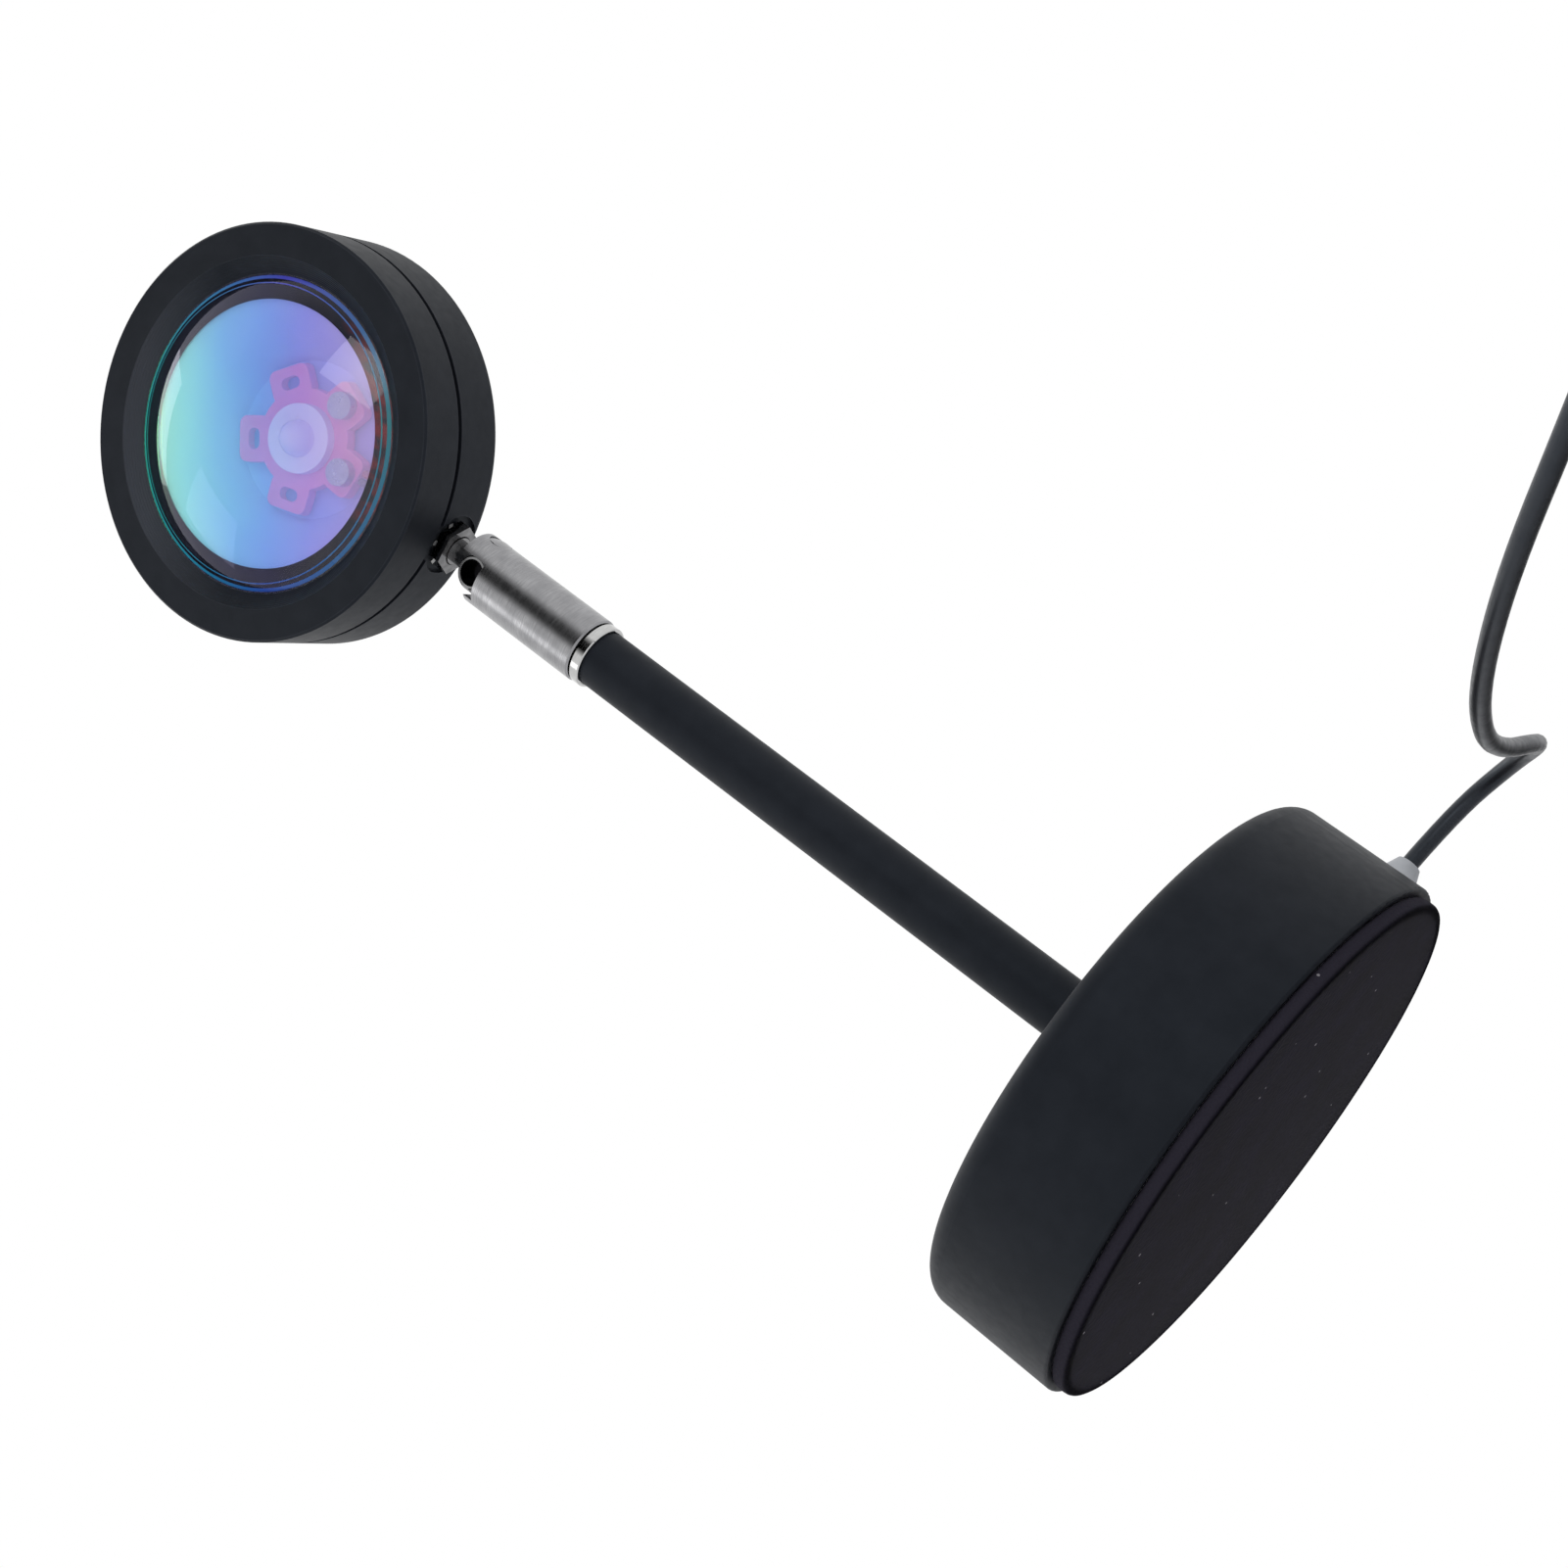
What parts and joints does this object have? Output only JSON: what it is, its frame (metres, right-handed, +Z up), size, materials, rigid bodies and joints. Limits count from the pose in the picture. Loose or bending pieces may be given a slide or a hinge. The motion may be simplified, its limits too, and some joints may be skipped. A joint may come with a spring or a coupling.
{
  "type": "projection lamp",
  "caption": "Round projection lamp: a domed glass lens in a flat drum head on a tilting, turning knuckle, slim stem and weighted base, with a lead, switch and plug.",
  "frame": {"origin": "centre of the foam pad's underside, where the lamp stands", "axes": "+Z up the stem, -Y the way the lens looks at rest, +X to the right seen from the front"},
  "size_m": [0.2939, 0.145, 0.2392],
  "materials": {
    "body_black": "satin",
    "foam": "matte",
    "plain_steel": "satin",
    "iron": "matte",
    "bright_metal": "polished",
    "brushed_sleeve": "brushed",
    "dark_nickel": "satin",
    "lens_glass": "polished",
    "filter_glass": "polished",
    "ring_black": "matte",
    "cone_black": "matte",
    "board": "satin",
    "heat_pad": "matte",
    "source": "satin",
    "source_dome": "polished",
    "wire_red": "satin",
    "wire_black": "satin",
    "grommet": "translucent",
    "case_black": "satin",
    "button": "gloss",
    "circuit": "satin",
    "tongue": "matte",
    "contact_gold": "polished"
  },
  "bodies": {
    "stand": {"base_shell": "body_black", "stem_tube": "body_black", "foam_pad": "foam", "bottom_plate": "plain_steel", "base_screws": "plain_steel", "stem_washer": "plain_steel", "stem_nipple": "plain_steel", "stem_nut": "plain_steel", "turn_nut": "plain_steel", "ballast_ring": "iron", "turn_collar": "bright_metal", "plug_shell": "bright_metal", "stem_lead": "wire_black", "lead_to_switch": "wire_black", "lead_to_coil": "wire_black", "lead_coil": "wire_black", "lead_to_plug": "wire_black", "lead_grommet": "grommet", "switch_lower": "case_black", "switch_upper": "case_black", "plug_body": "case_black", "lead_tie": "case_black", "switch_board": "circuit", "plug_tongue": "tongue", "plug_contacts": "contact_gold"},
    "swivel": {"swivel_sleeve": "brushed_sleeve", "tilt_pin": "brushed_sleeve", "friction_washer": "plain_steel"},
    "head": {"tilt_knuckle": "dark_nickel", "neck_nut": "bright_metal", "lock_washer": "bright_metal", "inner_nut": "plain_steel", "head_housing": "body_black", "head_bezel": "body_black", "lens": "lens_glass", "colour_filter": "filter_glass", "lens_ring": "ring_black", "reflector": "cone_black", "light_board": "board", "heat_pad": "heat_pad", "board_screws": "plain_steel", "light_source": "source", "source_dome": "source_dome", "head_lead_red": "wire_red", "head_lead_black": "wire_black"},
    "button": {"switch_button": "button"}
  },
  "joints": [
    {"name": "head_turn", "type": "hinge", "parent": "stand", "child": "swivel", "pos_m": [0, 0, 0.142], "axis": [0, 0, 1], "range_deg": [-170, 170]},
    {"name": "head_tilt", "type": "hinge", "parent": "swivel", "child": "head", "pos_m": [0, 0, 0.16], "axis": [1, 0, 0], "range_deg": [-90, 90]},
    {"name": "button_press", "type": "slide", "parent": "stand", "child": "button", "axis": [0, 0, -1], "range_m": [0, 0.0012], "stiffness_N_per_m": 1200, "springref_m": -0.001}
  ]
}
